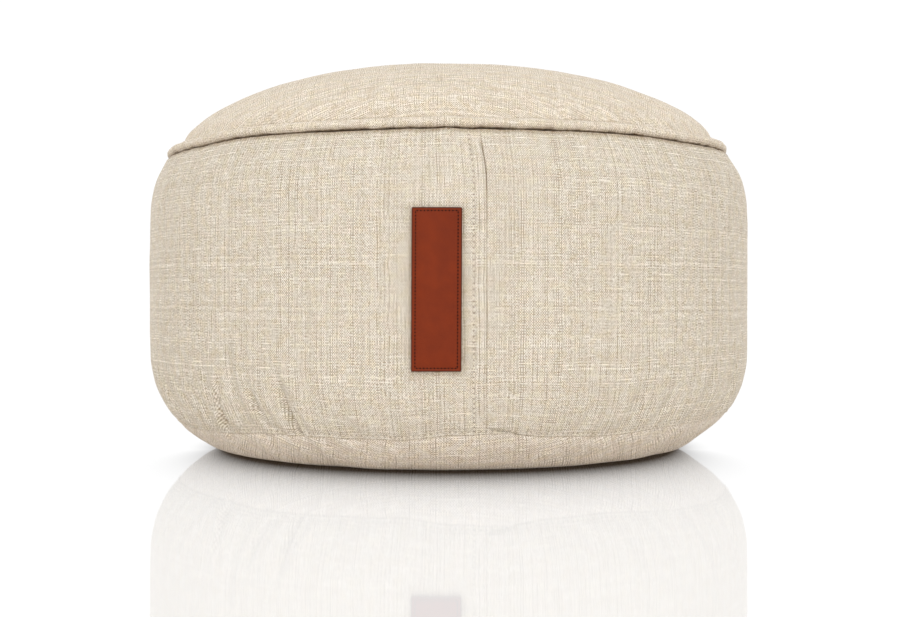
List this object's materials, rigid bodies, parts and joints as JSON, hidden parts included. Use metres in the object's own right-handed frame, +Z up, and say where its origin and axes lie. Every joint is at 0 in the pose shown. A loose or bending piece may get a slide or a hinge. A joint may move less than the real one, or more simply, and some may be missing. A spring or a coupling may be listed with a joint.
{
  "type": "bean bag footstool",
  "caption": "Round filled footstool of slub cloth with a crowned top, a rolled welt at the top seam, a drawn-in foot and an upright leather label on the side.",
  "frame": {"origin": "middle of the flat underside, at the floor", "axes": "+Z up, the leather label faces -Y, +X to the right of the label as it is looked at"},
  "size_m": [0.5, 0.5021, 0.319],
  "materials": {
    "cloth": "plain weave of cream and tan slub yarn, matt",
    "welt_cloth": "the same slub cloth rolled into a lip, matt",
    "base_cloth": "the same slub cloth, a little darker under the lower seam, matt",
    "label_leather": "red-brown leather with fine grain and burnished edges, satin"
  },
  "bodies": {
    "root": {"top_panel": "cloth", "side_band": "cloth", "base_panel": "base_cloth", "top_welt": "welt_cloth", "leather_label": "label_leather"}
  },
  "joints": []
}
